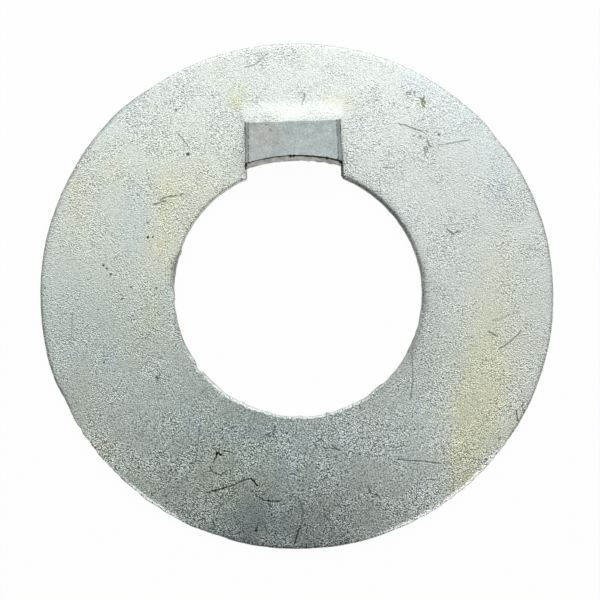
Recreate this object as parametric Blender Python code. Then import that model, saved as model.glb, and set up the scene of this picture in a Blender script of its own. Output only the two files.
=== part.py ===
"""Washer with an internal lock tab, stamped from one piece of steel sheet.

A flat, slightly oval disc has a round bore. Two short cuts run out from the bore and free a
rectangular tab between them, and the tab is folded up at their far ends. The bore and the rim
have the rolled front edge that a punch leaves, and the tab's sides carry the wider roll left by
the cuts.

Units are metres. The back face lies on Z = 0, +Z points to the side that the tab stands on, and
+Y points from the middle towards the tab.
"""

import math

import bmesh
import bpy

# The disc
OUTER_WIDTH = 0.0518        # across the tab, along X
OUTER_LENGTH = 0.0509       # along the tab, along Y
THICKNESS = 0.0009
BORE_DIAMETER = 0.0250
BORE_OFFSET = 0.0003        # how far the bore sits off the disc's middle, towards the tab
EDGE_ROLL = 0.0002          # radius of the rolled front edge at the rim and the bore
MOUTH_RADIUS = 0.0003       # corner between the bore and each side of the notch

# The tab and its notch
TAB_WIDTH = 0.0096
CUT_WIDTH = 0.00006         # width of the cut that parts the tab from the notch, on each side
FOLD_DISTANCE = 0.01735     # from the bore's middle out to the fold
BEND_ANGLE = math.radians(37.5)
BEND_RADIUS = 0.00015       # inside radius, on the front face
NEUTRAL_SHARE = 0.3         # depth of the sheet's unstretched layer, from the inside of the bend
SIDE_ROLL_WIDTH = 0.0004    # rolled front edge along the tab's two sides
SIDE_ROLL_DEPTH = 0.0003
ROLL_RUN_IN = 0.0009        # length over which the sides' roll grows, from the fold
TIP_ROLL = 0.00005          # radius of the front edge at the tip, which is nearly sharp

# How finely the round shapes are divided
RIM_STEPS = 192
BORE_STEPS = 156
MOUTH_STEPS = 4
SIDE_STEPS = 3
ROLL_STEPS = 3
BEND_STEPS = 6
SHAFT_STEPS = 6
TAB_COLUMNS = 10
SMOOTH_ANGLE = math.radians(35)
MERGE_DISTANCE = 0.000001

BORE_RADIUS = BORE_DIAMETER / 2
FOLD_Y = BORE_OFFSET + FOLD_DISTANCE
TAB_HALF = TAB_WIDTH / 2
NOTCH_HALF = TAB_HALF + CUT_WIDTH
NEUTRAL_RADIUS = BEND_RADIUS + NEUTRAL_SHARE * THICKNESS
BEND_LENGTH = NEUTRAL_RADIUS * BEND_ANGLE


def clear_scene():
    for thing in list(bpy.data.objects):
        bpy.data.objects.remove(thing, do_unlink=True)


def quarter(step):
    """Inset and drop of a rolled edge of radius 1, from its wall (step 0) to the flat face."""
    turn = math.pi / 2 * step / ROLL_STEPS
    return 1 - math.cos(turn), 1 - math.sin(turn)


def rim_loop(inset, z):
    """The disc's oval outline, drawn in by an inset."""
    points = []
    for step in range(RIM_STEPS):
        turn = math.tau * step / RIM_STEPS
        x = (OUTER_WIDTH / 2 - inset) * math.cos(turn)
        y = (OUTER_LENGTH / 2 - inset) * math.sin(turn)
        points.append((x, y, z))
    return points


def tab_columns():
    """Places across the tab, close together where its sides roll over."""
    flat_half = TAB_HALF - SIDE_ROLL_WIDTH
    left = [-TAB_HALF + SIDE_ROLL_WIDTH * quarter(step)[0] for step in range(ROLL_STEPS)]
    middle = [flat_half * (2 * step / TAB_COLUMNS - 1) for step in range(TAB_COLUMNS + 1)]
    right = [-x for x in reversed(left)]
    return left + middle + right


def right_half_opening():
    """The opening's right half, from the bore's bottom to the fold, as (x, y, normal, roll).

    The normal points into the sheet. The roll is full along the bore, fades round the mouth's
    corner, and is nothing along the notch, which the cut leaves sharp.
    """
    corner_x = NOTCH_HALF + MOUTH_RADIUS
    corner_y = math.sqrt((BORE_RADIUS + MOUTH_RADIUS) ** 2 - corner_x ** 2)
    arc_end = math.atan2(corner_y, corner_x)
    arc_start = -math.pi / 2
    stations = []
    half_steps = BORE_STEPS // 2
    for step in range(half_steps):
        turn = arc_start + (arc_end - arc_start) * step / half_steps
        normal = (math.cos(turn), math.sin(turn))
        stations.append((BORE_RADIUS * normal[0], BORE_RADIUS * normal[1], normal, EDGE_ROLL))
    for step in range(MOUTH_STEPS + 1):
        share = step / MOUTH_STEPS
        turn = arc_end * (1 - share)
        normal = (math.cos(turn), math.sin(turn))
        x = corner_x - MOUTH_RADIUS * normal[0]
        y = corner_y - MOUTH_RADIUS * normal[1]
        stations.append((x, y, normal, EDGE_ROLL * (1 - share)))
    for step in range(1, SIDE_STEPS + 1):
        y = corner_y + (FOLD_DISTANCE - corner_y) * step / SIDE_STEPS
        stations.append((NOTCH_HALF, y, (1.0, 0.0), 0.0))
    return stations


def opening_stations():
    """The whole opening: up its right side, along the fold, and down its left side."""
    right = right_half_opening()
    fold = [(x, FOLD_DISTANCE, (0.0, 1.0), 0.0) for x in reversed(tab_columns())]
    left = [(-x, y, (-normal[0], normal[1]), roll) for x, y, normal, roll in reversed(right[1:])]
    return right + fold + left


def opening_loop(step):
    """One loop of the opening's edge: the back edge for step None, else a step of the roll."""
    points = []
    for x, y, normal, roll in opening_stations():
        inset, drop = (0.0, 0.0) if step is None else quarter(step)
        z = 0.0 if step is None else THICKNESS - roll * drop
        px = x + normal[0] * roll * inset
        py = y + normal[1] * roll * inset
        points.append((px, BORE_OFFSET + py, z))
    return points


def add_loop(mesh, points):
    return [mesh.verts.new(point) for point in points]


def join_loops(mesh, first, second, closed=True):
    """Quads between two loops that have the same number of points."""
    count = len(first)
    for index in range(count if closed else count - 1):
        following = (index + 1) % count
        mesh.faces.new((first[index], first[following], second[following], second[index]))


def loop_edges(mesh, loop):
    edges = []
    for index, vert in enumerate(loop):
        following = loop[(index + 1) % len(loop)]
        edge = mesh.edges.get((vert, following))
        edges.append(edge if edge else mesh.edges.new((vert, following)))
    return edges


def fill_between(mesh, outer, inner):
    """The flat face between the rim and the opening."""
    edges = loop_edges(mesh, outer) + loop_edges(mesh, inner)
    bmesh.ops.triangle_fill(mesh, use_beauty=True, use_dissolve=False, edges=edges)


def add_disc(mesh):
    """The disc with its bore and notch, open only along the wall that carries the tab."""
    rim = [add_loop(mesh, rim_loop(0.0, 0.0))]
    for step in range(ROLL_STEPS + 1):
        inset, drop = quarter(step)
        rim.append(add_loop(mesh, rim_loop(EDGE_ROLL * inset, THICKNESS - EDGE_ROLL * drop)))
    for lower, upper in zip(rim, rim[1:]):
        join_loops(mesh, lower, upper)

    opening = [add_loop(mesh, opening_loop(None))]
    for step in range(ROLL_STEPS + 1):
        opening.append(add_loop(mesh, opening_loop(step)))
    for lower, upper in zip(opening, opening[1:]):
        join_loops(mesh, lower, upper)

    fill_between(mesh, rim[0], opening[0])
    fill_between(mesh, rim[-1], opening[-1])


def open_fold_wall(mesh):
    """Removes the wall along the fold, between the two cuts, where the tab goes on."""
    wall = []
    for face in mesh.faces:
        on_fold = all(abs(vert.co.y - FOLD_Y) < MERGE_DISTANCE for vert in face.verts)
        in_tab = all(abs(vert.co.x) < TAB_HALF + MERGE_DISTANCE for vert in face.verts)
        if on_fold and in_tab:
            wall.append(face)
    bmesh.ops.delete(mesh, geom=wall, context="FACES")


def flat_length(x):
    """Length of the unfolded tab at one place across it: its tip lies on the bore's circle."""
    return FOLD_DISTANCE - math.sqrt(BORE_RADIUS ** 2 - x ** 2)


def tab_rows(x):
    """Places along the unfolded tab, from the fold to the tip."""
    length = flat_length(x)
    bend = [BEND_LENGTH * step / BEND_STEPS for step in range(BEND_STEPS)]
    roll_start = length - TIP_ROLL
    shaft = [BEND_LENGTH + (roll_start - BEND_LENGTH) * step / SHAFT_STEPS for step in range(SHAFT_STEPS)]
    tip = [length - TIP_ROLL * quarter(step)[0] for step in range(ROLL_STEPS, -1, -1)]
    return bend + shaft + tip


def rolled_drop(distance, width, depth):
    """How far a rolled edge has dropped at a distance in from its wall."""
    if distance >= width:
        return 0.0
    share = 1 - max(distance, 0.0) / width
    return depth * (1 - math.sqrt(1 - share ** 2))


def front_height(x, along):
    """Height of the unfolded tab's front face above its back face."""
    grown = min(along / ROLL_RUN_IN, 1.0)
    side = rolled_drop(TAB_HALF - abs(x), SIDE_ROLL_WIDTH, SIDE_ROLL_DEPTH) * grown
    tip = rolled_drop(flat_length(x) - along, TIP_ROLL, TIP_ROLL)
    return THICKNESS - side - tip


def folded(x, along, height):
    """Where a point of the flat tab goes when the tab is folded up about its front face."""
    turn = min(along / NEUTRAL_RADIUS, BEND_ANGLE)
    straight = max(along - BEND_LENGTH, 0.0)
    reach = BEND_RADIUS + THICKNESS - height
    inward = reach * math.sin(turn) + straight * math.cos(turn)
    up = THICKNESS + BEND_RADIUS - reach * math.cos(turn) + straight * math.sin(turn)
    return x, FOLD_Y - inward, up


def add_tab(mesh):
    """The tab, as a front and a back surface over the same places, with walls round them."""
    front = []
    back = []
    for x in tab_columns():
        rows = tab_rows(x)
        front.append(add_loop(mesh, [folded(x, along, front_height(x, along)) for along in rows]))
        back.append(add_loop(mesh, [folded(x, along, 0.0) for along in rows]))
    for surface in (front, back):
        for column, following in zip(surface, surface[1:]):
            join_loops(mesh, column, following, closed=False)
    for side in (0, -1):
        join_loops(mesh, front[side], back[side], closed=False)
    join_loops(mesh, [column[-1] for column in front], [column[-1] for column in back], closed=False)


def zinc_material():
    material = bpy.data.materials.new("zinc_plated_steel")
    material.use_nodes = True
    shader = material.node_tree.nodes["Principled BSDF"]
    shader.inputs["Base Color"].default_value = (0.56, 0.57, 0.58, 1.0)
    shader.inputs["Metallic"].default_value = 0.9
    shader.inputs["Roughness"].default_value = 0.45
    return material


def build_washer():
    mesh = bmesh.new()
    add_disc(mesh)
    open_fold_wall(mesh)
    add_tab(mesh)
    bmesh.ops.remove_doubles(mesh, verts=mesh.verts, dist=MERGE_DISTANCE)
    bmesh.ops.recalc_face_normals(mesh, faces=mesh.faces)

    data = bpy.data.meshes.new("tab_washer")
    mesh.to_mesh(data)
    mesh.free()
    data.shade_smooth()
    data.set_sharp_from_angle(angle=SMOOTH_ANGLE)
    data.materials.append(zinc_material())
    washer = bpy.data.objects.new("tab_washer", data)
    bpy.context.scene.collection.objects.link(washer)


clear_scene()
build_washer()
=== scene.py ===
"""Looks of the tab washer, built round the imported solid. Units are metres, +Z up, +Y towards the tab."""

from math import atan, atan2, cos, pi, radians, sin, sqrt

import bmesh
import bpy
import numpy as np
from mathutils import Matrix, Vector, noise


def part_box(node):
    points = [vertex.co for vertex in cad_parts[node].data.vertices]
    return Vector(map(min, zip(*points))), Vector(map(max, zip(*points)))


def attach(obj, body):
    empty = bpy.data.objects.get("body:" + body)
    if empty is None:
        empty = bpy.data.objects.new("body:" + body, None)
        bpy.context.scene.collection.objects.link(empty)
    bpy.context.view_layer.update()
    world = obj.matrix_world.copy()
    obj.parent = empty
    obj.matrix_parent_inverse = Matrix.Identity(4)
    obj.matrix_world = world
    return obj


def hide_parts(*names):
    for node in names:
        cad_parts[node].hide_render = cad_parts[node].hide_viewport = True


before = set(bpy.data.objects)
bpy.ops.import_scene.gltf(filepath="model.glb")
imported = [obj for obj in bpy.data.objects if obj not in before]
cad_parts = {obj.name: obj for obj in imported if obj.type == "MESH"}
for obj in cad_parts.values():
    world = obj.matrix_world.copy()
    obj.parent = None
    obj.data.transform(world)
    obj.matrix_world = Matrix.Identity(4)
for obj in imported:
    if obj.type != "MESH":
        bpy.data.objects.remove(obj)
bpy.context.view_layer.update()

NODE = "tab_washer"

# The tab's fold and rolls, as in the solid, in metres
MOUTH_RADIUS = 0.0003
BEND_ANGLE = radians(37.5)
BEND_RADIUS = 0.00015
NEUTRAL_SHARE = 0.3
SIDE_ROLL_WIDTH = 0.0004
SIDE_ROLL_DEPTH = 0.0003
ROLL_RUN_IN = 0.0009
TIP_ROLL = 0.00005

# The photograph: its size, the bore in it, and the camera's distance, all in pixels on the front face
PICTURE = 600
BORE_PIXELS = 248.4
BORE_AT = (297.25, 292.75)
CAMERA_PIXELS = 1300.0
ROLL_ANGLE = radians(1.76)
LEAN = complex(cos(ROLL_ANGLE), sin(ROLL_ANGLE))

# How finely the mesh is divided
BORE_STEPS = 470
MOUTH_STEPS = 8
SIDE_STEPS = 28
ROLL_STEPS = 5
WALL_STEPS = 6
FACE_STEPS = 66
LAST_FACE_STEPS = (2, 1.5, 1, 0.5)  # before the rim, closer together there
BACK_STEPS = 20
BEND_STEPS = 10
SHAFT_STEPS = 30
TAB_COLUMNS = 48
MERGE_DISTANCE = 0.0000004
SHARP_ANGLE = radians(40)
FAR = 0.01  # stands for a distance that is too far to matter
FACE_KIND = 0.0
WALL_KIND = 1.0
TAB_KIND = 2.0
TIP_KIND = 3.0
KIND_ROOM = 0.1

# How the stamping departs from a true circle and oval: harmonic, height in micrometres, and highest angle
MICROMETRE = 0.000001
RIM_WAVES = ((1, 90, 180), (1, 30, 90))
BORE_WAVES = ((2, 80, 135),)

# Swellings and flats of the two outlines: middle and half-width in degrees, height outwards in micrometres
RIM_SWELLINGS = (
    (143, 13, 180), (182, 7, -40), (203, 3, -180), (207.5, 3, -60), (223, 17, -200), (231, 4, 50),
    (268, 22, 50), (281, 6, 40), (303, 11, 30), (330, 6, 40), (110, 14, 50), (0, 8, -60),
    (50, 10, -20), (250, 5, -30), (36, 3, -90), (41, 3, 60), (131, 6, 110), (164, 6, 50),
    (150, 4, -70), (249, 4, -70),
)
BORE_SWELLINGS = (
    (135, 22, 90), (159, 2, -70), (180, 2, -80), (200, 6, 40), (215.4, 2, 220), (232.5, 2.5, 70),
    (248, 5, -80), (254, 4, -50), (269, 1.5, -100), (241.5, 1.2, -120), (282, 1.2, -140),
    (293, 6, -80), (307.5, 4, -130), (320, 2.5, 50), (343, 2, 50), (8, 24, 50),
)
RIM_RAGGED = 0.00003
RIM_TORN = ((218, 20, 80), (308, 14, 60))  # where the rim is more ragged
BORE_RAGGED = 0.00002
RAGGED_LENGTH = 0.0012
BURR_RAGGED = 0.00004
TAB_RAGGED = 0.00011  # how ragged the back edge of the tab's end is
TAB_RAGGED_LENGTH = 0.00055
NOTCH_LEAN = 0.0001  # how far the notch's walls lean in at the back
NOTCH_LEAN_RUN = 0.0012  # over this length they straighten up towards the fold
SIDEWAYS = 0.99  # the normals of the notch's straight sides point further sideways than this

# Which noise each unevenness takes
BORE_SEED, RIM_SEED, BURR_SEED, TAB_SEED, WAVE_SEED = 3.1, 7.7, 1.3, 5.9, 0.4
STAIN_AND_LIGHT_SEEDS = (11.0, 13.0)  # across and down

# The sheet rises a little towards the fold
LIFT = 0.00011
LIFT_LENGTH = 0.0022
LIFT_HALF_WIDTH = 0.0047
LIFT_SIDE = 0.0007

# The front face isn't quite flat
WAVE_HEIGHT = 0.000012
WAVE_LENGTH = 0.006

ZINC = (0.603, 0.651, 0.615)

# Tone of the rolled edges, painted shade and painted highlights where the rolls face away from or towards
# the light:
# middle and half-width in degrees, and factors of the edge's line and wider band
BORE_TONES = (
    (45, 30, 0.43, 0.74), (4, 12, 0.66, 0.78), (343, 13, 0.82, 0.82), (330, 7, 0.9, 0.88),
    (167, 8, 0.62, 0.88), (140, 20, 1, 0.94), (198, 8, 0.84, 1), (215, 6, 1.2, 0.88),
    (265, 40, 2, 1), (272, 30, 1, 0.82), (311, 13, 0.92, 0.83),
)
RIM_TONES = (
    (2, 16, 0.8, 0.97), (25, 12, 0.76, 1), (50, 14, 0.86, 1.04), (85, 34, 1.18, 1.05),
    (130, 7, 0.84, 0.98), (143, 12, 0.74, 0.98), (167, 15, 0.76, 0.92), (192, 14, 0.68, 0.9),
    (218, 22, 1, 1.03), (234, 8, 1.45, 1), (268, 18, 0.95, 0.86), (291, 6, 1.3, 1.02),
    (307, 15, 1.5, 1.04), (333, 14, 0.76, 1),
)

# Where the rolls of the bore and the rim are narrower or wider: middle, half-width, share of the usual width
BORE_ROLL_SHARES = ((265, 44, 0.5), (238, 12, 1.12), (214, 7, 0.7), (309, 12, 0.85))
RIM_ROLL_SHARES = ((225, 22, 0.35), (304, 19, 0.35))

# Where the rim carries a low burr: middle and half-width in degrees, height in micrometres
RIM_BURRS = ((234, 8, 40), (304, 17, 50))
RIM_BURR_WIDTH = 0.0004

# Tones along the notch, painted light and shade on its edges with a painted shadow below the tab: left line,
# right line beside and below the tab, the pixels where that changes, and left and right band
NOTCH_LEFT = 1.1
NOTCH_RIGHT = (1.1, 0.16)
NOTCH_DARK = (144, 160)
NOTCH_BANDS = (0.9, 0.8)
NOTCH_REACH = 1.02  # how far beside the notch these hold, as a share of its half-width

BORE_LINE = 0.00030  # width of the line along the bore's edge
RIM_LINE = 0.00025
BORE_BAND = 0.00105  # width of the softer band behind each line
RIM_BAND = 0.00085

# Strength of the grain: at the picture's top, how much stronger at its bottom, and between which pixels
GRAIN_TOP = 0.90
GRAIN_MORE = 1.52
GRAIN_FROM = 320
GRAIN_TO = 520

# Stains on the front face, and painted light and shade: the broad lighter patch over the top, the painted
# highlight just above the fold and the two dark patches towards the bottom are painted light and shade.
# Middle and half-widths in pixels, lean in degrees if any, tint where strongest
STAINS_AND_PAINTED_LIGHT = (
    (300, 75, 260, 60, (1.05, 1.035, 1.05)), (297, 110, 45, 12, (1.15, 1.14, 1.12)),
    (175, 400, 150, 160, (0.97, 1, 0.98)), (266, 556, 108, 62, (0.58, 0.6, 0.61)),
    (262, 478, 116, 88, (0.765, 0.79, 0.795)), (228, 474, 42, 38, (1.04, 1.03, 0.95)),
    (262, 514, 44, 17, 165, (0.93, 0.95, 1)), (255, 431, 40, 10, (0.95, 0.97, 1.02)),
    (283, 466, 9, 22, 30, (0.94, 0.96, 1.01)), (470, 410, 75, 95, (1.1, 1.1, 1.06)),
    (484, 360, 28, 120, 9, (1.05, 1.005, 0.89)), (505, 400, 18, 50, (1.03, 1, 0.95)),
    (458, 455, 16, 40, (1.03, 1, 0.95)), (408, 430, 26, 60, (0.965, 1, 1.02)),
    (468, 130, 90, 28, 50, (0.985, 1, 1.03)), (125, 118, 35, 14, -45, (0.985, 1, 1.03)),
    (75, 310, 40, 70, (0.98, 1, 1)), (155, 262, 22, 20, (1.025, 1, 0.955)),
    (78, 405, 22, 28, (1.01, 1, 0.95)), (144, 480, 45, 14, 45, (1, 1, 0.955)),
    (474, 435, 24, 62, 9, (1.01, 1, 0.92)), (120, 215, 75, 95, (1.01, 1, 0.96)),
    (200, 180, 60, 60, (1.01, 1, 0.96)), (400, 200, 120, 110, (0.995, 0.985, 1)),
    (238, 92, 13, 15, 10, (0.97, 0.96, 0.87)), (234, 104, 10, 9, (0.95, 0.94, 0.87)),
    (350, 100, 17, 10, (1, 0.99, 0.92)), (329, 97, 8, 8, (1.01, 1, 0.94)),
    (111, 171, 10, 14, (1.02, 0.99, 0.93)), (165, 190, 14, 22, 4, (1.02, 1, 0.94)),
    (164, 236, 12, 26, 4, (1.05, 1.01, 0.93)), (497, 190, 14, 16, (0.94, 0.96, 0.99)),
    (212, 512, 22, 14, (1.05, 1.05, 1.04)), (195, 200, 34, 34, 40, (1.02, 1, 0.95)),
    (78, 205, 12, 36, 4, (1.02, 1, 0.93)), (151, 312, 12, 20, (1.02, 1, 0.92)),
    (140, 345, 20, 22, (1.01, 1, 0.97)), (104, 450, 15, 15, 40, (1.035, 1, 0.93)),
    (105, 470, 12, 10, 30, (1.02, 1, 0.95)), (214, 66, 12, 9, (1.02, 1, 0.96)),
    (421, 101, 7, 6, (0.98, 0.97, 0.86)), (133, 221, 15, 40, 3, (0.95, 0.98, 1.04)),
    (111, 360, 11, 10, (0.95, 0.98, 1.05)), (190, 423, 13, 11, (0.95, 0.98, 1.04)),
    (178, 400, 20, 12, 30, (0.97, 0.99, 1.02)), (417, 81, 20, 18, (0.97, 0.99, 1.03)),
    (240, 455, 26, 14, 60, (0.97, 0.98, 1.01)), (300, 440, 90, 40, (0.98, 1, 1.03)),
    (530, 345, 14, 60, 5, (1.015, 1, 0.97)),
)

STAIN_AND_LIGHT_WANDERS = ((7, 0.0025), (3, 0.0009))  # how far their edges wander: pixels, and length in metres

# Broad shading of the face: middle and half-width of the angle in degrees, middle and half-width of the
# way from the bore (0) to the rim (1), and factor
SHADES = (
    (270, 80, 0, 0.22, 0.955), (228, 28, 0.5, 1.2, 0.91), (262, 25, 0.5, 0.5, 0.98),
    (292, 22, 0.7, 0.6, 0.94), (285, 14, 1, 0.25, 0.9), (320, 24, 0.1, 0.4, 0.9),
    (345, 22, 0, 0.2, 0.93), (192, 14, 0.5, 1.2, 0.95), (95, 55, 0.5, 1.5, 1.01),
    (70, 28, 0.9, 0.5, 1.05),
)

# Patches where the grain is calmer or stronger: middle and half-widths in pixels, and factor of the grain
GRAIN_PATCHES = (
    (297, 109, 46, 11, 0.4), (104, 285, 60, 50, 0.8), (212, 470, 24, 20, 0.85), (262, 512, 40, 14, 0.88),
    (222, 503, 24, 18, 0.84), (425, 140, 40, 40, 0.75), (300, 75, 150, 34, 0.82), (480, 195, 55, 80, 0.74),
    (400, 485, 60, 50, 0.86), (470, 410, 60, 70, 0.85), (162, 290, 26, 70, 1.35), (434, 290, 26, 70, 1.35),
    (297, 440, 80, 26, 1.15), (60, 315, 28, 55, 0.64), (98, 405, 45, 45, 0.84), (92, 190, 40, 60, 0.87),
    (205, 200, 35, 35, 0.86), (532, 325, 32, 55, 0.74), (490, 350, 40, 50, 0.87),
)

# Scratches: half-width in pixels, strength, and then across and down of each pixel that it runs through
SCRATCHES = (
    (1.15, 1, 216.5, 454, 217.7, 452.3, 220.8, 454.4),
    (0.75, 0.75, 216.5, 454, 215.7, 456.6, 213.6, 462),
    (0.7, 0.62, 210, 466.5, 211.5, 470.3, 216, 473.5, 221, 474.6, 226.3, 471.3),
    (0.7, 0.65, 224.3, 450.3, 231.7, 452.3),
    (0.75, 0.8, 207, 492.2, 220.3, 488.8, 235.2, 484.2, 241.5, 480.5, 251, 478.2),
    (0.85, 1, 251, 477.9, 257, 485.2), (0.7, 0.6, 255.5, 493.8, 257.3, 496.4),
    (0.8, 0.72, 259.3, 496.5, 263.9, 500.3, 271.4, 500.6, 279.4, 501.1),
    (0.65, 0.5, 219.1, 507.2, 223.1, 503.1), (0.9, 0.18, 232.3, 452.6, 232.9, 479),
    (0.65, 0.55, 298, 497, 301, 503, 302.8, 511, 301.9, 520, 299.4, 529),
    (0.85, 0.85, 299.2, 528, 296.5, 536.5, 294.8, 543), (0.7, 0.5, 258.5, 522.5, 257, 526.5),
    (1.1, 0.9, 256.8, 527.6, 256, 530.5), (0.75, 0.5, 273.9, 426, 273.2, 436.5),
    (0.65, 0.45, 260, 434, 265, 434.6, 271, 435.8), (0.65, 0.35, 211, 448, 217, 449.5, 224, 450.6),
    (0.7, 0.55, 320.5, 438.5, 323.5, 441.5), (0.65, 0.5, 324, 448, 331, 447.5, 340, 450.2),
    (0.65, 0.5, 331, 444.5, 337, 449.3), (0.65, 0.45, 313, 442, 317, 448),
    (0.7, 0.55, 368, 486, 370.6, 492.6, 377, 495.2), (0.65, 0.4, 309, 506, 311.5, 508, 313, 512),
    (0.7, 0.45, 324, 514, 328.5, 520), (0.6, 0.3, 72.5, 312, 71.5, 330, 70.5, 345),
    (0.6, 0.35, 134, 349, 140, 343, 149, 335),
    (0.65, 0.6, 398, 459.3, 410, 460.5, 424, 461, 441, 463.2),
    (0.65, 0.42, 412, 354, 413, 380, 410, 400), (0.65, 0.5, 304.6, 93, 304, 98, 301.5, 104),
    (0.7, 0.5, 160, 373, 157, 382), (0.65, 0.4, 199.6, 426, 198, 445, 195, 462),
    (0.65, 0.4, 207, 388, 199.6, 395),
    (0.7, 0.65, 160.7, 199.5, 164.3, 197.5, 172.3, 195.7, 176.3, 195.4),
    (0.7, 0.6, 179.6, 195.2, 182.1, 193.7),
    (0.85, 0.52, 153.8, 204.2, 157, 203.4, 163.8, 200.7, 165.6, 201.5),
    (0.65, 0.55, 398.6, 123.1, 402.1, 124.9),
    (0.65, 0.6, 404.2, 124.4, 411.3, 127.4, 418, 129.7, 423, 131.3),
    (0.6, 0.4, 441, 144.5, 455, 142.4, 470, 139.5), (0.6, 0.45, 383.5, 167.4, 394, 167.4),
    (0.7, 0.6, 446.8, 228.3, 450, 231.2, 453.2, 233.8), (0.7, 0.55, 456.3, 231.9, 459.8, 231.2),
    (0.75, 0.55, 488.7, 331.1, 497, 336.1),
    (0.65, 0.55, 521, 330.7, 515.7, 336.5, 508.2, 342.7, 499, 349),
    (0.9, 0.25, 492.4, 320.3, 499, 319.5, 508.2, 314.9, 519, 311.6),
    (0.75, 0.6, 523.6, 402.5, 521.9, 406.2, 523.6, 411.2), (0.8, 0.6, 516.5, 410.4, 517.3, 420.3),
    (0.65, 0.4, 178, 133, 189, 147), (0.65, 0.38, 245, 67, 256, 64, 266, 54),
    (0.9, 0.62, 419.9, 98, 422.6, 100.2, 425.2, 102.4),
    (0.9, 0.62, 423.8, 96.9, 421.6, 103.4, 424, 106),
    (0.8, 0.48, 406.6, 95.3, 407.3, 91.8, 410.4, 91, 410.6, 94), (0.8, 0.45, 414.3, 91.3, 414.6, 94.2),
    (0.8, 0.6, 427.7, 141.2, 430.2, 146.6),
    (0.75, 0.52, 424.2, 147, 424.6, 151, 427.6, 150.2, 427.2, 147, 424.2, 147),
)

# Pits and dark spots, and painted shadows in the gaps by the tab's end corners: middle and radius in pixels,
# and strength
PITS_AND_GAP_SHADOWS = (
    (176, 110, 1.3, 0.7), (188, 154, 1.9, 0.85), (147.5, 222.5, 1.2, 0.7), (147.8, 237.2, 1.5, 0.88),
    (152.7, 236.6, 1.2, 0.8), (103.5, 265, 1.3, 0.8), (106.6, 268.5, 1.2, 0.85), (110.6, 274, 1.4, 0.8),
    (131, 287, 1.3, 0.75), (122, 298.5, 1.2, 0.65), (98.5, 309.3, 1.1, 0.6), (156.3, 288, 1.2, 0.65),
    (133.5, 327.8, 1.1, 0.55), (152.8, 328, 1.3, 0.55), (104, 361.8, 1.3, 0.65), (156.8, 377.5, 1.6, 0.8),
    (45, 288, 1.1, 0.6), (499.5, 438.5, 1.4, 0.55), (266, 528, 1.1, 0.55), (340, 532, 1.2, 0.6),
    (438.8, 134.1, 1.3, 0.75), (439.4, 144.8, 0.9, 0.5), (420, 136.6, 1.9, 0.42), (424, 137.4, 1.2, 0.45),
    (414.1, 135.1, 1.1, 0.5), (430.2, 146.4, 1.4, 0.5), (425.4, 152.7, 1.2, 0.5), (401.6, 86.6, 1, 0.5),
    (155.6, 204.6, 1.4, 0.35), (203.6, 487.4, 1.1, 0.6), (209.6, 487.1, 1.1, 0.6), (220.8, 496.8, 1, 0.6),
    (251.8, 491.1, 1.3, 0.5), (256.5, 495.4, 1.3, 0.65), (515.3, 306.2, 1, 0.5), (290.6, 158.2, 1.4, 0.95),
    # The spots round (340, 165) and (248, 167) are painted shadow in the gaps by the tab's end corners
    (294, 158.4, 1.4, 0.95), (326.4, 160.8, 1.4, 0.9), (339.6, 165, 1.7, 0.95), (340, 168, 1.5, 0.9),
    (337, 161.6, 1.3, 0.7), (247.6, 167.6, 1.5, 0.85), (250.4, 165.6, 1, 0.6), (266, 124.8, 1, 0.65),
    (270.4, 130.4, 0.9, 0.5), (271.4, 132, 0.9, 0.5),
)


def part_place(across, down):
    """Where a pixel of the photograph lies on the front face, in the part's own X and Y."""
    place = complex(across - BORE_AT[0], BORE_AT[1] - down) * size.pixel / LEAN
    return place.real, place.imag + size.bore_y


def picture_place(x, y):
    """Where points of the front face lie in the photograph."""
    place = (x + 1j * (y - size.bore_y)) / size.pixel * LEAN
    return BORE_AT[0] + place.real, BORE_AT[1] - place.imag


# How the solid's corners are told apart: shares of its half-length and of its thickness
INSIDE_RIM = 0.9
NEAR_BACK = 0.1
RAISED = 1.5


class Sizes:
    """The washer's sizes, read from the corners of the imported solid."""

    def __init__(self, node):
        x, y, z = np.array([tuple(vert.co) for vert in node.data.vertices]).T
        _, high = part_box(NODE)
        self.half_width = high.x
        self.half_length = high.y
        self.thickness = z[y < 0].max()
        inside = np.hypot(x, y) < self.half_length * INSIDE_RIM
        opening = inside & (z < self.thickness * NEAR_BACK)
        self.bore_radius = np.abs(x[opening]).max()
        self.bore_y = y[opening].min() + self.bore_radius
        self.fold_y = y[opening].max()
        self.fold_distance = self.fold_y - self.bore_y
        at_fold = opening & (np.abs(y - self.fold_y) < MERGE_DISTANCE)
        self.notch_half = np.abs(x[at_fold]).max()
        self.tab_half = np.abs(x[z > self.thickness * RAISED]).max()
        at_side = np.abs(x) > self.half_width - MERGE_DISTANCE
        self.edge_roll = self.thickness - z[at_side].max()
        self.neutral_radius = BEND_RADIUS + NEUTRAL_SHARE * self.thickness
        self.bend_length = self.neutral_radius * BEND_ANGLE
        self.pixel = 2 * self.bore_radius / BORE_PIXELS


size = Sizes(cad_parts[NODE])


def smooth(share):
    """Smooth step from 0 to 1, for numbers and arrays."""
    share = np.clip(share, 0, 1)
    return share * share * (3 - 2 * share)


def wobble(x, y, seed, length):
    """Smooth noise between about -1 and 1 over arrays of places, with features of one length."""
    places = zip(np.ravel(x) / length, np.ravel(y) / length)
    return np.array([noise.noise(Vector((u, v, seed))) for u, v in places]).reshape(np.shape(x))


def quarter(share):
    """Inset and drop of a rolled edge of radius 1: share 0 is at its wall, 1 on the flat face."""
    turn = pi / 2 * share
    return 1 - cos(turn), 1 - sin(turn)


def tab_columns():
    """Places across the tab, close together where its sides roll over."""
    flat_half = size.tab_half - SIDE_ROLL_WIDTH
    left = [SIDE_ROLL_WIDTH * quarter(step / ROLL_STEPS)[0] - size.tab_half for step in range(ROLL_STEPS)]
    middle = [flat_half * (2 * step / TAB_COLUMNS - 1) for step in range(TAB_COLUMNS + 1)]
    return left + middle + [-x for x in reversed(left)]


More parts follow.
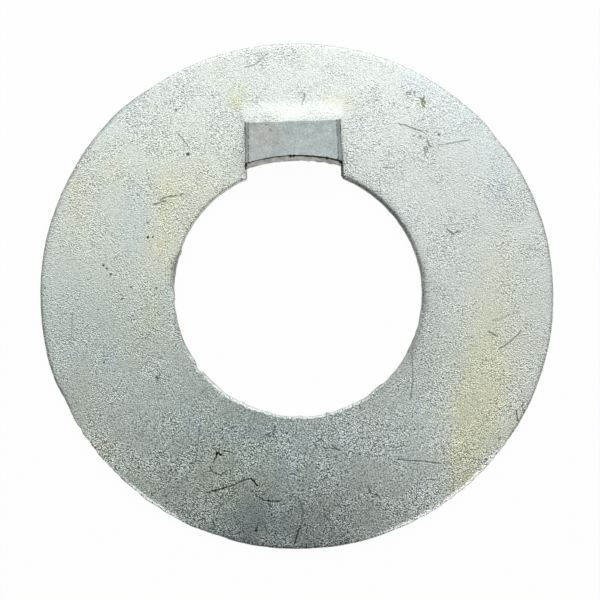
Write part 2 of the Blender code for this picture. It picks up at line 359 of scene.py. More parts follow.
def right_half_opening():
    """The opening from the bore's bottom up its right side: (x, y, normal, roll), from the bore's middle."""
    corner_x = size.notch_half + MOUTH_RADIUS
    corner_y = sqrt((size.bore_radius + MOUTH_RADIUS) ** 2 - corner_x ** 2)
    arc_end = atan2(corner_y, corner_x)
    arc_start = -pi / 2
    stations = []
    half_steps = BORE_STEPS // 2
    for step in range(half_steps):
        turn = arc_start + (arc_end - arc_start) * step / half_steps
        normal = (cos(turn), sin(turn))
        stations.append((size.bore_radius * normal[0], size.bore_radius * normal[1], normal, size.edge_roll))
    for step in range(MOUTH_STEPS + 1):
        share = step / MOUTH_STEPS
        turn = arc_end * (1 - share)
        normal = (cos(turn), sin(turn))
        x = corner_x - MOUTH_RADIUS * normal[0]
        y = corner_y - MOUTH_RADIUS * normal[1]
        stations.append((x, y, normal, size.edge_roll * (1 - share)))
    for step in range(1, SIDE_STEPS + 1):
        y = corner_y + (size.fold_distance - corner_y) * step / SIDE_STEPS
        stations.append((size.notch_half, y, (1.0, 0.0), 0.0))
    return stations


def opening_stations():
    """The whole opening, and which of its stations lie on the tab's root."""
    right = right_half_opening()
    fold = [(x, size.fold_distance, (0.0, 1.0), 0.0) for x in reversed(tab_columns())]
    left = [(-x, y, (-normal[0], normal[1]), roll) for x, y, normal, roll in reversed(right[1:])]
    root = range(len(right), len(right) + len(fold))
    return right + fold + left, root


def rim_points(inner):
    """Where the rays from the bore's middle through the opening's points meet the oval rim."""
    direction = inner / np.linalg.norm(inner, axis=1)[:, None]
    a = (direction[:, 0] / size.half_width) ** 2 + (direction[:, 1] / size.half_length) ** 2
    b = 2 * direction[:, 1] * size.bore_y / size.half_length ** 2
    c = (size.bore_y / size.half_length) ** 2 - 1
    reach = (-b + np.sqrt(b ** 2 - 4 * a * c)) / (2 * a)
    points = direction * reach[:, None]
    slope = points + [0.0, size.bore_y]
    normal = slope / [size.half_width ** 2, size.half_length ** 2]
    return points, normal / np.linalg.norm(normal, axis=1)[:, None]


def turns(points):
    """The angle at which each point lies."""
    return np.arctan2(points[:, 1], points[:, 0])


def waves(points, harmonics):
    """Low, broad departures from a true round, by the angle of each point."""
    turn = turns(points)
    total = np.zeros(len(points))
    for harmonic, height, peak in harmonics:
        total += height * np.cos(harmonic * (turn - radians(peak)))
    return total * MICROMETRE


def arc_share(turn, middle, half_width):
    """1 in the middle of an arc, fading to 0 beyond its half-width, for angles in radians."""
    away = np.degrees(np.angle(np.exp(1j * (turn - radians(middle)))))
    return np.exp(-(away / half_width) ** 4)


def swellings(points, arcs):
    """The heights of the arcs of an outline that swell out or lie flat."""
    turn = turns(points)
    heights = [height * arc_share(turn, middle, half_width) for middle, half_width, height in arcs]
    return sum(heights) * MICROMETRE


def shares(turn, arcs):
    """A share of 1 that changes over some arcs, at each angle."""
    return 1 + sum((share - 1) * arc_share(turn, middle, half_width) for middle, half_width, share in arcs)


def shaped_outlines(inner, inner_normal, on_bore, rim, rim_normal):
    """The opening and the rim with their unevenness."""
    bore_shift = waves(inner, BORE_WAVES) + swellings(inner, BORE_SWELLINGS)
    bore_shift += BORE_RAGGED * wobble(*inner.T, BORE_SEED, RAGGED_LENGTH)
    rim_shift = waves(rim, RIM_WAVES) + swellings(rim, RIM_SWELLINGS)
    ragged = RIM_RAGGED + swellings(rim, RIM_TORN)
    rim_shift += ragged * wobble(*rim.T, RIM_SEED, RAGGED_LENGTH / 2)
    inner = inner + inner_normal * (bore_shift * on_bore)[:, None]
    rim = rim + rim_normal * rim_shift[:, None]
    return inner, rim


def opening_lean(inner, inner_normal, on_bore):
    """How far the opening's back edge stands out from its front edge."""
    to_fold = smooth((size.fold_distance - inner[:, 1]) / NOTCH_LEAN_RUN)
    on_notch = (1 - on_bore) * to_fold * (np.abs(inner_normal[:, 0]) > SIDEWAYS)
    burr = BURR_RAGGED * wobble(*inner.T, BURR_SEED, RAGGED_LENGTH / 2)
    return burr * np.maximum(on_bore, on_notch) - NOTCH_LEAN * on_notch


def disc_loops():
    """Closed loops round the disc's section: opening's wall, front face, rim, back face."""
    stations, root = opening_stations()
    inner = np.array([(x, y) for x, y, _, _ in stations])
    inner_normal = np.array([normal for _, _, normal, _ in stations])
    roll = np.array([roll for _, _, _, roll in stations])
    on_bore = roll / size.edge_roll
    on_fold = np.zeros(len(roll), bool)
    on_fold[root.start:root.stop] = True
    narrow = shares(turns(inner), BORE_ROLL_SHARES)
    roll = roll * narrow
    rim, rim_normal = rim_points(inner)
    rim_roll = size.edge_roll * shares(turns(rim), RIM_ROLL_SHARES)
    rim_burr = swellings(rim, RIM_BURRS)
    inner, rim = shaped_outlines(inner, inner_normal, on_bore, rim, rim_normal)
    lean = opening_lean(inner, inner_normal, on_bore)
    thickness = size.thickness
    loops = []

    def add(points, z, from_bore=FAR, from_rim=FAR):
        """One loop: its places, and how far it lies from the opening's edge and from the rim."""
        columns = [points[:, 0], points[:, 1] + size.bore_y]
        from_bore = np.where(on_fold, FAR, from_bore / narrow)
        columns += [np.broadcast_to(value, len(points)) for value in (z, from_bore, from_rim)]
        loops.append(np.column_stack(columns))

    for step in range(WALL_STEPS):
        level = step / WALL_STEPS
        add(inner + inner_normal * (lean * (1 - level))[:, None], (thickness - roll) * level, 0.0)
    for step in range(ROLL_STEPS + 1):
        inset, drop = quarter(step / ROLL_STEPS)
        add(inner + inner_normal * (roll * inset)[:, None], thickness - roll * drop, roll * inset)
    opening_loops = WALL_STEPS + 1
    start = inner + inner_normal * roll[:, None]
    end = rim - rim_normal * rim_roll[:, None]
    width = np.linalg.norm(end - start, axis=1)
    for step in [*range(1, FACE_STEPS - 2), *(FACE_STEPS - left for left in LAST_FACE_STEPS)]:
        share = step / FACE_STEPS
        from_rim = rim_roll + width * (1 - share)
        top = thickness + rim_burr * smooth(1 - from_rim / RIM_BURR_WIDTH)
        add(start + (end - start) * share, top, roll + width * share, from_rim)
    rim_loops = len(loops) + ROLL_STEPS
    for step in range(ROLL_STEPS, -1, -1):
        inset, drop = quarter(step / ROLL_STEPS)
        place = rim - rim_normal * (rim_roll * inset)[:, None]
        add(place, thickness + rim_burr - rim_roll * drop, FAR, rim_roll * inset)
    for step in range(WALL_STEPS - 1, -1, -1):
        add(rim, (thickness + rim_burr - rim_roll) * step / WALL_STEPS, FAR, 0.0)
    start = inner + inner_normal * lean[:, None]
    for step in range(BACK_STEPS - 1, 0, -1):
        add(start + (rim - start) * step / BACK_STEPS, 0.0)
    wall_rows = list(range(opening_loops - 1)) + list(range(rim_loops, rim_loops + WALL_STEPS))
    return np.array(loops), opening_loops + ROLL_STEPS, wall_rows, root


def flat_length(x):
    """Length of the unfolded tab at one place across it: its tip lies on the bore's circle."""
    return size.fold_distance - sqrt(size.bore_radius ** 2 - x ** 2)


def tab_rows(x):
    """Places along the unfolded tab, from the fold to the tip."""
    length = flat_length(x)
    bend = [size.bend_length * step / BEND_STEPS for step in range(BEND_STEPS)]
    straight = length - TIP_ROLL - size.bend_length
    shaft = [size.bend_length + straight * step / SHAFT_STEPS for step in range(SHAFT_STEPS)]
    tip = [length - TIP_ROLL * quarter(step / ROLL_STEPS)[0] for step in range(ROLL_STEPS, -1, -1)]
    return bend + shaft + tip


def rolled_drop(distance, width, depth):
    """How far a rolled edge has dropped at a distance in from its wall."""
    if distance >= width:
        return 0.0
    share = 1 - max(distance, 0.0) / width
    return depth * (1 - sqrt(max(1 - share ** 2, 0.0)))


def front_height(x, along):
    """Height of the unfolded tab's front face above its back face."""
    grown = min(along / ROLL_RUN_IN, 1.0)
    side = rolled_drop(size.tab_half - abs(x), SIDE_ROLL_WIDTH, SIDE_ROLL_DEPTH) * grown
    tip = rolled_drop(flat_length(x) - along, TIP_ROLL, TIP_ROLL)
    return size.thickness - side - tip


def folded(x, along, height):
    """Where a point of the flat tab goes when the tab is folded up about its front face."""
    turn = min(along / size.neutral_radius, BEND_ANGLE)
    straight = max(along - size.bend_length, 0.0)
    reach = BEND_RADIUS + size.thickness - height
    inward = reach * sin(turn) + straight * cos(turn)
    up = size.thickness + BEND_RADIUS - reach * cos(turn) + straight * sin(turn)
    return x, size.fold_y - inward, up


def tab_layers():
    """The tab's points as an array of layers from back to front, by column and row."""
    columns = tab_columns()
    ragged = TAB_RAGGED * wobble(np.array(columns), np.zeros(len(columns)), TAB_SEED, TAB_RAGGED_LENGTH)
    layers = []
    for step in range(WALL_STEPS + 1):
        level = step / WALL_STEPS
        layer = []
        for x, burr in zip(columns, ragged):
            length = flat_length(x)
            column = []
            for along in tab_rows(x):
                stretched = along + burr * (1 - level) * smooth(along / length)
                column.append(folded(x, stretched, front_height(x, along) * level))
            layer.append(column)
        layers.append(layer)
    return np.array(layers)


def lift(x, y):
    """How far the sheet rises above the flat, close to the fold and across the tab's width."""
    beyond = np.abs(y - size.fold_y) / LIFT_LENGTH
    aside = (np.abs(x) - LIFT_HALF_WIDTH) / LIFT_SIDE
    return LIFT * (1 - smooth(beyond)) * (1 - smooth(aside))


def settle(points, tab):
    """Raises the sheet at the fold, carries the tab with it, and gives the front face its waves."""
    x, y, z = points.T
    along = np.full(len(points), size.fold_y) if tab else y
    raised = lift(x, along)
    if not tab:
        front = np.clip(z / size.thickness, 0, 1)
        clear = smooth((np.abs(x) - LIFT_HALF_WIDTH) / LIFT_SIDE) + smooth((size.bore_y - y) / LIFT_LENGTH)
        raised = raised + WAVE_HEIGHT * wobble(x, y, WAVE_SEED, WAVE_LENGTH) * front * np.clip(clear, 0, 1)
    return np.column_stack([x, y, z + raised])


def grid_faces(rows, closed=False):
    """Quads over a grid of vertex numbers, which may close on itself both ways."""
    if closed:
        rows = np.vstack([rows, rows[:1]])
        rows = np.hstack([rows, rows[:, :1]])
    return np.stack([rows[:-1, :-1], rows[:-1, 1:], rows[1:, 1:], rows[1:, :-1]], axis=-1)


def washer_mesh():
    """The washer as points, quads, the kind of each quad, and each point's level and edge distances."""
    loops, opening_rows, wall_rows, root = disc_loops()
    count = loops.shape[0] * loops.shape[1]
    index = np.arange(count).reshape(loops.shape[:2])
    quads = grid_faces(index, closed=True)
    kinds = np.full(quads.shape[:2], FACE_KIND)
    kinds[wall_rows] = WALL_KIND
    keep = np.ones(quads.shape[:2], bool)
    keep[:opening_rows - 1, root.start:root.stop - 1] = False
    groups = [(quads[keep], kinds[keep])]

    layers = tab_layers()[:, ::-1]
    tab_index = count + np.arange(layers[..., 0].size).reshape(layers.shape[:3])
    sides = (
        (tab_index[-1], TAB_KIND),
        (tab_index[0], FACE_KIND),
        (tab_index[:, 0], WALL_KIND),
        (tab_index[:, -1], WALL_KIND),
        (tab_index[:, :, -1], TIP_KIND),
    )
    for grid, kind in sides:
        faces = grid_faces(grid).reshape(-1, 4)
        groups.append((faces, np.full(len(faces), kind)))

    disc_level = np.clip(loops[..., 2] / size.thickness, 0, 1).ravel()
    tab_level = np.broadcast_to(np.linspace(0, 1, len(layers))[:, None, None], layers.shape[:3]).ravel()
    disc_points = loops[..., :3].reshape(-1, 3)
    points = np.vstack([settle(disc_points, False), settle(layers.reshape(-1, 3), True)])
    quads = np.vstack([faces for faces, _ in groups])
    kinds = np.concatenate([kind for _, kind in groups])
    far = np.full(len(tab_level), FAR)
    values = {
        "level": np.concatenate([disc_level, tab_level]),
        "from_bore": np.concatenate([loops[..., 3].ravel(), far]),
        "from_rim": np.concatenate([loops[..., 4].ravel(), far]),
    }
    return points, quads, kinds, values


def patch_share(across, down, middle_x, middle_y, half_x, half_y, lean=0):
    """1 in the middle of an oval patch of the photograph, fading to 0 beyond its half-widths."""
    dx = across - middle_x
    dy = down - middle_y
    cosine = cos(radians(lean))
    sine = sin(radians(lean))
    reach = ((dx * cosine + dy * sine) / half_x) ** 2 + ((dy * cosine - dx * sine) / half_y) ** 2
    return np.exp(-reach ** 1.5)


def stain_and_light_tint(x, y):
    """Tint of the stains and of the painted light and shade at each point of the washer, with wandering
    edges.
    """
    places = []
    for place, seed in zip(picture_place(x, y), STAIN_AND_LIGHT_SEEDS):
        for step, (pixels, length) in enumerate(STAIN_AND_LIGHT_WANDERS):
            place = place + pixels * wobble(x, y, seed + step, length)
        places.append(place)
    tint = np.ones((len(x), 3))
    for *patch, colour in STAINS_AND_PAINTED_LIGHT:
        tint *= 1 + patch_share(*places, *patch)[:, None] * (np.array(colour) - 1)
    return tint


def shade(x, y, from_bore, from_rim):
    """Factor of the broad shading at each point of the washer."""
    turn = np.arctan2(y - size.bore_y, x)
    way = from_bore / np.maximum(from_bore + from_rim, MERGE_DISTANCE)
    factor = np.ones(len(x))
    for middle, half_width, middle_way, half_way, change in SHADES:
        reach = np.exp(-((way - middle_way) / half_way) ** 4)
        factor *= 1 + (change - 1) * arc_share(turn, middle, half_width) * reach
    return factor


def edge_tones(x, y):
    """Factors of the bore's line and band and of the rim's line and band, by the angle of each point:
    painted shade and painted highlights on the rolled edges and the notch.
    """
    tones = []
    for middle_y, arcs in ((size.bore_y, BORE_TONES), (0.0, RIM_TONES)):
        turn = np.arctan2(y - middle_y, x)
        for part in (2, 3):
            tones.append(shares(turn, [(*arc[:2], arc[part]) for arc in arcs]))
    in_notch = (np.abs(x) < size.notch_half * NOTCH_REACH) & (y > size.bore_y)
    _, down = picture_place(x, y)
    below_tip = smooth((down - NOTCH_DARK[0]) / (NOTCH_DARK[1] - NOTCH_DARK[0]))
    right_line = NOTCH_RIGHT[0] + (NOTCH_RIGHT[1] - NOTCH_RIGHT[0]) * below_tip
    tones[0] = np.where(in_notch, np.where(x > 0, right_line, NOTCH_LEFT), tones[0])
    tones[1] = np.where(in_notch, np.where(x > 0, NOTCH_BANDS[1], NOTCH_BANDS[0]), tones[1])
    return tones


def grain_strength(x, y):
    """The grain is stronger where the light comes in low, towards the picture's bottom."""
    across, down = picture_place(x, y)
    strength = GRAIN_TOP + GRAIN_MORE * smooth((down - GRAIN_FROM) / (GRAIN_TO - GRAIN_FROM))
    for *patch, change in GRAIN_PATCHES:
        strength = strength * (1 + (change - 1) * patch_share(across, down, *patch))
    return strength


def add_object(name, data):
    thing = bpy.data.objects.new(name, data)
    bpy.context.scene.collection.objects.link(thing)
    return thing


def add_values(data, name, numbers, kind="FLOAT", domain="POINT"):
    """Keeps one number or colour for each point or face of a mesh."""
    field = "color" if kind == "FLOAT_COLOR" else "value"
    data.attributes.new(name, kind, domain).data.foreach_set(field, np.ravel(numbers))


def closed_mesh(data):
    """Joins the surfaces where they meet, and makes sure that nothing is left open."""
    mesh = bmesh.new()
    mesh.from_mesh(data)
    bmesh.ops.remove_doubles(mesh, verts=mesh.verts, dist=MERGE_DISTANCE)
    bmesh.ops.recalc_face_normals(mesh, faces=mesh.faces)
    open_edges = [edge for edge in mesh.edges if not edge.is_manifold]
    if open_edges:
        raise ValueError(f"the washer's mesh has {len(open_edges)} open edges")
    mesh.to_mesh(data)
    mesh.free()


def build_washer():
    points, quads, kinds, values = washer_mesh()
    data = bpy.data.meshes.new("washer_surface")
    data.from_pydata(points.tolist(), [], quads.tolist())
    add_values(data, "kind", kinds, domain="FACE")
    for name, numbers in values.items():
        add_values(data, name, numbers)
    closed_mesh(data)

    x, y, _ = np.array([tuple(vert.co) for vert in data.vertices]).T
    distances = np.zeros((2, len(x)))
    for name, numbers in zip(("from_bore", "from_rim"), distances):
        data.attributes[name].data.foreach_get("value", numbers)
    tint = stain_and_light_tint(x, y) * shade(x, y, *distances)[:, None]
    add_values(data, "tint", np.column_stack([tint, np.ones(len(x))]), "FLOAT_COLOR")
    add_values(data, "edge_tones", np.column_stack(edge_tones(x, y)), "FLOAT_COLOR")
    add_values(data, "grain", grain_strength(x, y))
    data.shade_smooth()
    data.set_sharp_from_angle(angle=SHARP_ANGLE)
    return add_object("washer_surface", data)


class Graph:
    """Shorthand for building one material's nodes."""

    def __init__(self, name):
        self.material = bpy.data.materials.new(name)
        self.material.use_nodes = True
        self.nodes = self.material.node_tree.nodes
        self.links = self.material.node_tree.links

    def add(self, kind, inputs=None, **settings):
        """A new node's outputs. Values and other nodes' outputs both go in as inputs."""
        node = self.nodes.new("ShaderNode" + kind)
        for name, value in settings.items():
            setattr(node, name, value)
        for name, value in (inputs or {}).items():
            self.feed(node.inputs[name], value)
        return node.outputs

    def feed(self, socket, value):
        if isinstance(value, bpy.types.NodeSocket):
            self.links.new(value, socket)
        else:
            socket.default_value = value

    def dress(self, name, value):
        self.feed(self.nodes["Principled BSDF"].inputs[name], value)

    def math(self, operation, *values):
        return self.add("Math", dict(enumerate(values)), operation=operation)[0]

    def times(self, first, second):
        return self.math("MULTIPLY", first, second)

    def minus(self, first, second):
        return self.math("SUBTRACT", first, second)

    def plus(self, value, amount, base):
        """A base with an amount of a value added."""
        return self.math("MULTIPLY_ADD", value, amount, base)

    def faded(self, share, factor):
        """A factor that holds where the share is 1, and is 1 where the share is 0."""
        return self.plus(share, self.minus(factor, 1.0), 1.0)

    def vector(self, operation, *values, output=0):
        """A sum over vectors. Output 1 is the number that some of them give."""
        return self.add("VectorMath", dict(enumerate(values)), operation=operation)[output]

    def noise(self, place, scale, detail=0.0, distortion=0.0, output=0):
        inputs = {"Vector": place, "Scale": scale, "Detail": detail, "Distortion": distortion}
        return self.add("TexNoise", inputs)[output]

    def centred(self, place, scale, detail=0.0, distortion=0.0):
        """Noise about 0."""
        return self.minus(self.noise(place, scale, detail, distortion), 0.5)

    def cells(self, place, scale):
        inputs = {"Vector": place, "Scale": scale}
        return self.add("TexVoronoi", inputs, voronoi_dimensions="2D")

    def ramp(self, value, low, high, to_low=0.0, to_high=1.0):
        """Smooth step of a value between two limits."""
        inputs = {"Value": value, "From Min": low, "From Max": high, "To Min": to_low, "To Max": to_high}
        return self.add("MapRange", inputs, interpolation_type="SMOOTHSTEP", clamp=False)[0]

    def choose(self, switch, off, on):
        """One number where the switch is 0, and another where it is 1."""
        return self.add("Mix", {0: switch, 2: off, 3: on}, data_type="FLOAT")[0]

    def blend(self, factor, first, second, mode="MIX"):
        inputs = {0: factor, 6: first, 7: second}
        return self.add("Mix", inputs, data_type="RGBA", blend_type=mode)[2]

    def tinted(self, colour, tint):
        return self.blend(1.0, colour, tint, "MULTIPLY")

    def toned(self, colour, tone):
        """A colour made lighter or darker by a factor."""
        grey = self.add("CombineColor", {0: tone, 1: tone, 2: tone})[0]
        return self.tinted(colour, grey)

    def attribute(self, name, output="Fac"):
        return self.add("Attribute", attribute_name=name)[output]


def rgb(colour):
    return (*colour, 1.0)


# Grain of the plating. Scales are in features per metre, and contrasts are of the tone
FINE_SCALE = 9300.0
FINE_CONTRAST = 1.2
MIDDLE_SCALE = 4300.0
MIDDLE_CONTRAST = 0.06
GRAIN_DISTORTION = 0.4
PATCH_SCALE = 900.0
PATCH_CONTRAST = 0.09
KERNEL_SCALE = 5900.0  # light kernels with thin dark seams between them
KERNEL_CONTRAST = 0.64
KERNEL_MIDDLE = 0.45
KERNEL_BEND = 0.00012  # how far the seams wander
KERNEL_BEND_SCALE = 3500.0
UNEVEN_SCALE = 400.0
UNEVEN = (0.3, 0.7, 0.6, 1.42)  # noise from and to, and the grain's factor at each
FLECK_SCALE = 2300.0
FLECK_CHANCE = (0.5, 0.9)  # cells below have no dark fleck, and cells above have a full one
FLECK_REACH = 0.26  # size of the flecks, as a share of their spacing
FLECK_TONE = 0.20
GRAIN_DARKEST = 0.22
BUMP_HEIGHT = 0.000022


def grain(graph, place, strength):
    """Height of the fine grain about 0, and the factor that it puts on the colour."""
    fine = graph.centred(place, FINE_SCALE, 0.0, GRAIN_DISTORTION)
    middle = graph.centred(place, MIDDLE_SCALE, 1.0, GRAIN_DISTORTION)
    patch = graph.centred(place, PATCH_SCALE, 1.0)
    height = graph.plus(middle, MIDDLE_CONTRAST, graph.times(fine, FINE_CONTRAST))
    bend = graph.noise(place, KERNEL_BEND_SCALE, 2.0, output="Color")
    bent = graph.vector("MULTIPLY_ADD", bend, (KERNEL_BEND,) * 3, place)
    kernels = graph.minus(KERNEL_MIDDLE, graph.cells(bent, KERNEL_SCALE)["Distance"])
    height = graph.plus(kernels, KERNEL_CONTRAST, height)
    height = graph.times(height, graph.ramp(graph.noise(place, UNEVEN_SCALE, 1.0), *UNEVEN))
    broad = graph.times(graph.times(patch, PATCH_CONTRAST), strength)
    factor = graph.plus(height, strength, graph.math("ADD", broad, 1.0))
    flecks = graph.cells(place, FLECK_SCALE)
    chance = graph.add("SeparateColor", {0: flecks["Color"]})[0]
    fleck = graph.ramp(flecks["Distance"], FLECK_REACH, FLECK_REACH / 3)
    fleck = graph.times(graph.times(graph.ramp(chance, *FLECK_CHANCE), fleck), strength)
    factor = graph.times(factor, graph.plus(fleck, -FLECK_TONE, 1.0))
    return height, graph.math("MAXIMUM", factor, GRAIN_DARKEST)


TINGE_SCALE = 1500.0
TINGES = ((0.0, 0.05), (0.05, 0.13))  # of red and blue: where its noise is taken from, and strength


def tinge(graph, place):
    """Slight wandering of the plating's colour between yellowish and bluish."""
    red, blue = [
        graph.plus(graph.noise(graph.vector("ADD", place, (shift, 0.0, 0.0)), TINGE_SCALE, 1.0),
                   strength, 1 - strength / 2)
        for shift, strength in TINGES
    ]
    return graph.add("CombineColor", {0: red, 1: 1.0, 2: blue})[0]


# Scratches and pits, and painted shadows by the tab's end corners
MARK_SHIFT = -0.5  # pixels; the marks' places count from a pixel's edge
MARK_WANDER = 1.6  # pixels
MARK_WANDER_SCALE = 3200.0
SCRATCH_EDGE = (1.7, 0.5)  # where a mark begins and where it is full, in its half-widths
SPOT_EDGE = (1.5, 0.4)
FAINT_SCALE = 2400.0
FAINT = (0.25, 0.5, 0.78, 1.0)  # noise from and to, and the scratches' factor at each
MARKED_LEVELS = (0.3, 0.6)


def spot(across, down):
    return Vector((*part_place(across + MARK_SHIFT, down), 0.0))


def nearest_on_line(graph, place, places):
    """Distance from a place to a line through several places.

    No input here needs another type than it gets, and nothing clamps by a setting. Either would add
    hidden nodes that keep every part of the sum waiting, and the renderer runs out of room.
    """
    nearest = None
    for first, second in zip(places, places[1:]):
        run = second - first
        offset = graph.vector("SUBTRACT", place, first)
        share = graph.vector("DOT_PRODUCT", offset, run / run.length_squared, output=1)
        share = graph.add("Clamp", {0: share})[0]
        along = graph.add("VectorMath", {0: run, "Scale": share}, operation="SCALE")[0]
        distance = graph.vector("DISTANCE", offset, along, output=1)
        nearest = distance if nearest is None else graph.math("MINIMUM", nearest, distance)
    return nearest


def marks(graph, place):
    """Strength of the scratches and pits on the front face and on the tab, and of the painted shadows by the
    tab's end corners.
    """
    wander = graph.noise(place, MARK_WANDER_SCALE, 1.0, output="Color")
    wander = graph.vector("SUBTRACT", wander, (0.5, 0.5, 0.5))
    reach = MARK_WANDER * size.pixel
    moved = graph.vector("MULTIPLY_ADD", wander, (reach, reach, 0.0), place)
    flat = graph.vector("MULTIPLY", moved, (1.0, 1.0, 0.0))

    def with_mark(total, distance, radius, edge, strength):
        outer, inner = [radius * size.pixel * share for share in edge]
        return graph.math("MAXIMUM", total, graph.ramp(distance, outer, inner, 0.0, strength))

    total = 0.0
    for half_width, strength, *pixels in SCRATCHES:
        places = [spot(*pixel) for pixel in zip(pixels[::2], pixels[1::2])]
        nearest = nearest_on_line(graph, flat, places)
        total = with_mark(total, nearest, half_width, SCRATCH_EDGE, strength)
    total = graph.times(total, graph.ramp(graph.noise(place, FAINT_SCALE, 1.0), *FAINT))
    for across, down, radius, strength in PITS_AND_GAP_SHADOWS:
        distance = graph.vector("DISTANCE", flat, spot(across, down), output=1)
        total = with_mark(total, distance, radius, SPOT_EDGE, strength)
    return graph.times(total, graph.ramp(graph.attribute("level"), *MARKED_LEVELS))


EDGE_WANDER_SCALE = 2600.0
LINE_FROM = 1.5  # where a line begins and where it is full, as shares of its width
LINE_FULL = 0.9
NIBBLE_SCALE = 4500.0
NIBBLES = (0.3, 0.7, 0.78, 1.22)  # noise from and to, and the factor of a line's tone at each


def edge_factor(graph, place):
    """Factor of the dark and bright lines and bands along the bore and the rim: painted shade and painted
    highlights on the rolled edges.
    """
    tones = graph.add("Attribute", attribute_name="edge_tones")
    parts = graph.add("SeparateColor", {0: tones["Color"]})
    uneven = graph.centred(place, EDGE_WANDER_SCALE, 2.0)
    pairs = (
        ("from_bore", BORE_LINE, BORE_BAND, parts[0], parts[1]),
        ("from_rim", RIM_LINE, RIM_BAND, parts[2], tones["Alpha"]),
    )
    nibbles = graph.ramp(graph.noise(place, NIBBLE_SCALE, 1.0), *NIBBLES)
    factor = 1.0
    for name, width, band_width, line_tone, band_tone in pairs:
        away = graph.plus(uneven, width, graph.attribute(name))
        line = graph.ramp(away, width * LINE_FROM, width * LINE_FULL)
        factor = graph.times(factor, graph.faded(line, graph.times(line_tone, nibbles)))
        band = graph.ramp(away, band_width, width)
        factor = graph.times(factor, graph.faded(band, band_tone))
    return factor


# The tab's colours: its face at left and right, a brownish patch, its end, and the dark lip of the end,
# which also paints shadow into the end's corners
TAB_LEFT = (0.515, 0.565, 0.545)
TAB_RIGHT = (0.515, 0.595, 0.585)
TAB_BROWN = (0.53, 0.555, 0.52)
TAB_END = (0.64, 0.645, 0.60)
TAB_LIP_AND_SHADOW = (0.05, 0.045, 0.04)

# Scale and detail of the noises on the tab, and the contrast or distance that each makes
STREAKS = (5200.0, 1.0)
STREAK_LENGTHS = 7.0  # how much longer than wide the streaks are
STREAK_CONTRAST = 0.16
BLOTCHES = (900.0, 3.0)
BLOTCH_CONTRAST = 0.60
SPECKS = (6500.0, 1.0)
SPECK_CONTRAST = 0.95
SIDE_RAGS = (2500.0, 1.0)
SIDE_RAGGED = 0.00012
SEAM_BREAKS = (3800.0, 1.0)
END_MOTTLES = (2300.0, 2.0)
LIP_RAGS = (2800.0, 1.0)
LIP_RAGGED = 0.22

# On the tab's face, in its half-widths: the change from left to right, the brownish patch's middle from the
# fold, how far its edge wanders, and where it begins and is full
LEFT_TO_RIGHT = (-0.8, 0.3)
BROWN_AT = (-0.62, -0.25, 0.2)
BROWN_WANDER = 0.9
BROWN_EDGE = (0.50, 0.15)

# The tab's rolled sides, painted darker as shade on the rolls: tones, width, edge and seam as shares of it,
# and where the seams begin and are full
SIDE_TONE_LEFT = 0.69
SIDE_TONE_RIGHT = 0.65
SIDE_BAND = 0.00040
SIDE_EDGE = (1.15, 0.85)
SEAM_AT = 0.95
SEAM_EDGE = (0.00012, 0.00004)
CORNER_EDGE = (0.00014, 0.00005)

# Smooth steps: from and to, and the factors there. END_HALVES and LIP_HALVES count in the tab's half-widths
SEAM_TONES = (0.35, 0.65, 0.50, 0.98)
END_TONES = (0.25, 0.75, 0.72, 1.22)
END_FOOT = (0.0, 0.14, 0.72, 1.0)
END_HALVES = (0.2, 0.9, 1.0, 0.80)
LIP_HALVES = (-0.9, 0.9, 0.055, -0.10)
LIP_LEVELS = (0.76, 0.84)
# LIP_CORNER: painted shadow in the end's corners, by the notch's walls
LIP_CORNER = (0.00022, 0.00008)


def over_halves(low, high, *ends):
    """Limits given in the tab's half-widths, as limits in metres."""
    return (low * size.tab_half, high * size.tab_half, *ends)


def across_tab(graph, place):
    """How far a place lies to the right of the tab's middle, and how far in from its nearer side."""
    across = graph.add("SeparateXYZ", {0: place})[0]
    return across, graph.minus(size.tab_half, graph.math("ABSOLUTE", across))


def tab_face(graph, place):
    """Colour and tone of the tab's front: streaks along it, soft blotches, and rolled sides painted darker
    as shade.
    """
    across, from_side = across_tab(graph, place)
    half = size.tab_half
    stretched = graph.vector("MULTIPLY", place, (1.0, 1.0 / STREAK_LENGTHS, 1.0 / STREAK_LENGTHS))
    blotch = graph.centred(place, *BLOTCHES)
    tone = graph.plus(graph.centred(stretched, *STREAKS), STREAK_CONTRAST, 1.0)
    tone = graph.plus(blotch, BLOTCH_CONTRAST, tone)
    tone = graph.plus(graph.centred(place, *SPECKS), SPECK_CONTRAST, tone)
    right = graph.ramp(across, *over_halves(*LEFT_TO_RIGHT))
    colour = graph.blend(right, rgb(TAB_LEFT), rgb(TAB_RIGHT))
    middle = Vector(BROWN_AT) * half + Vector((0.0, size.fold_y, size.thickness))
    brown = graph.plus(blotch, half * BROWN_WANDER, graph.vector("DISTANCE", place, middle, output=1))
    colour = graph.blend(graph.ramp(brown, *over_halves(*BROWN_EDGE)), colour, rgb(TAB_BROWN))

    from_side = graph.plus(graph.centred(place, *SIDE_RAGS), SIDE_RAGGED, from_side)
    on_right = graph.math("GREATER_THAN", across, 0.0)
    side_tone = graph.plus(on_right, SIDE_TONE_RIGHT - SIDE_TONE_LEFT, SIDE_TONE_LEFT)
    band = graph.ramp(from_side, *[SIDE_BAND * share for share in SIDE_EDGE])
    tone = graph.times(tone, graph.faded(band, side_tone))
    seam_tone = graph.ramp(graph.noise(place, *SEAM_BREAKS), *SEAM_TONES)
    from_seam = graph.math("ABSOLUTE", graph.minus(from_side, SIDE_BAND * SEAM_AT))
    for distance, edge in ((from_seam, SEAM_EDGE), (from_side, CORNER_EDGE)):
        tone = graph.times(tone, graph.faded(graph.ramp(distance, *edge), seam_tone))
    return colour, tone


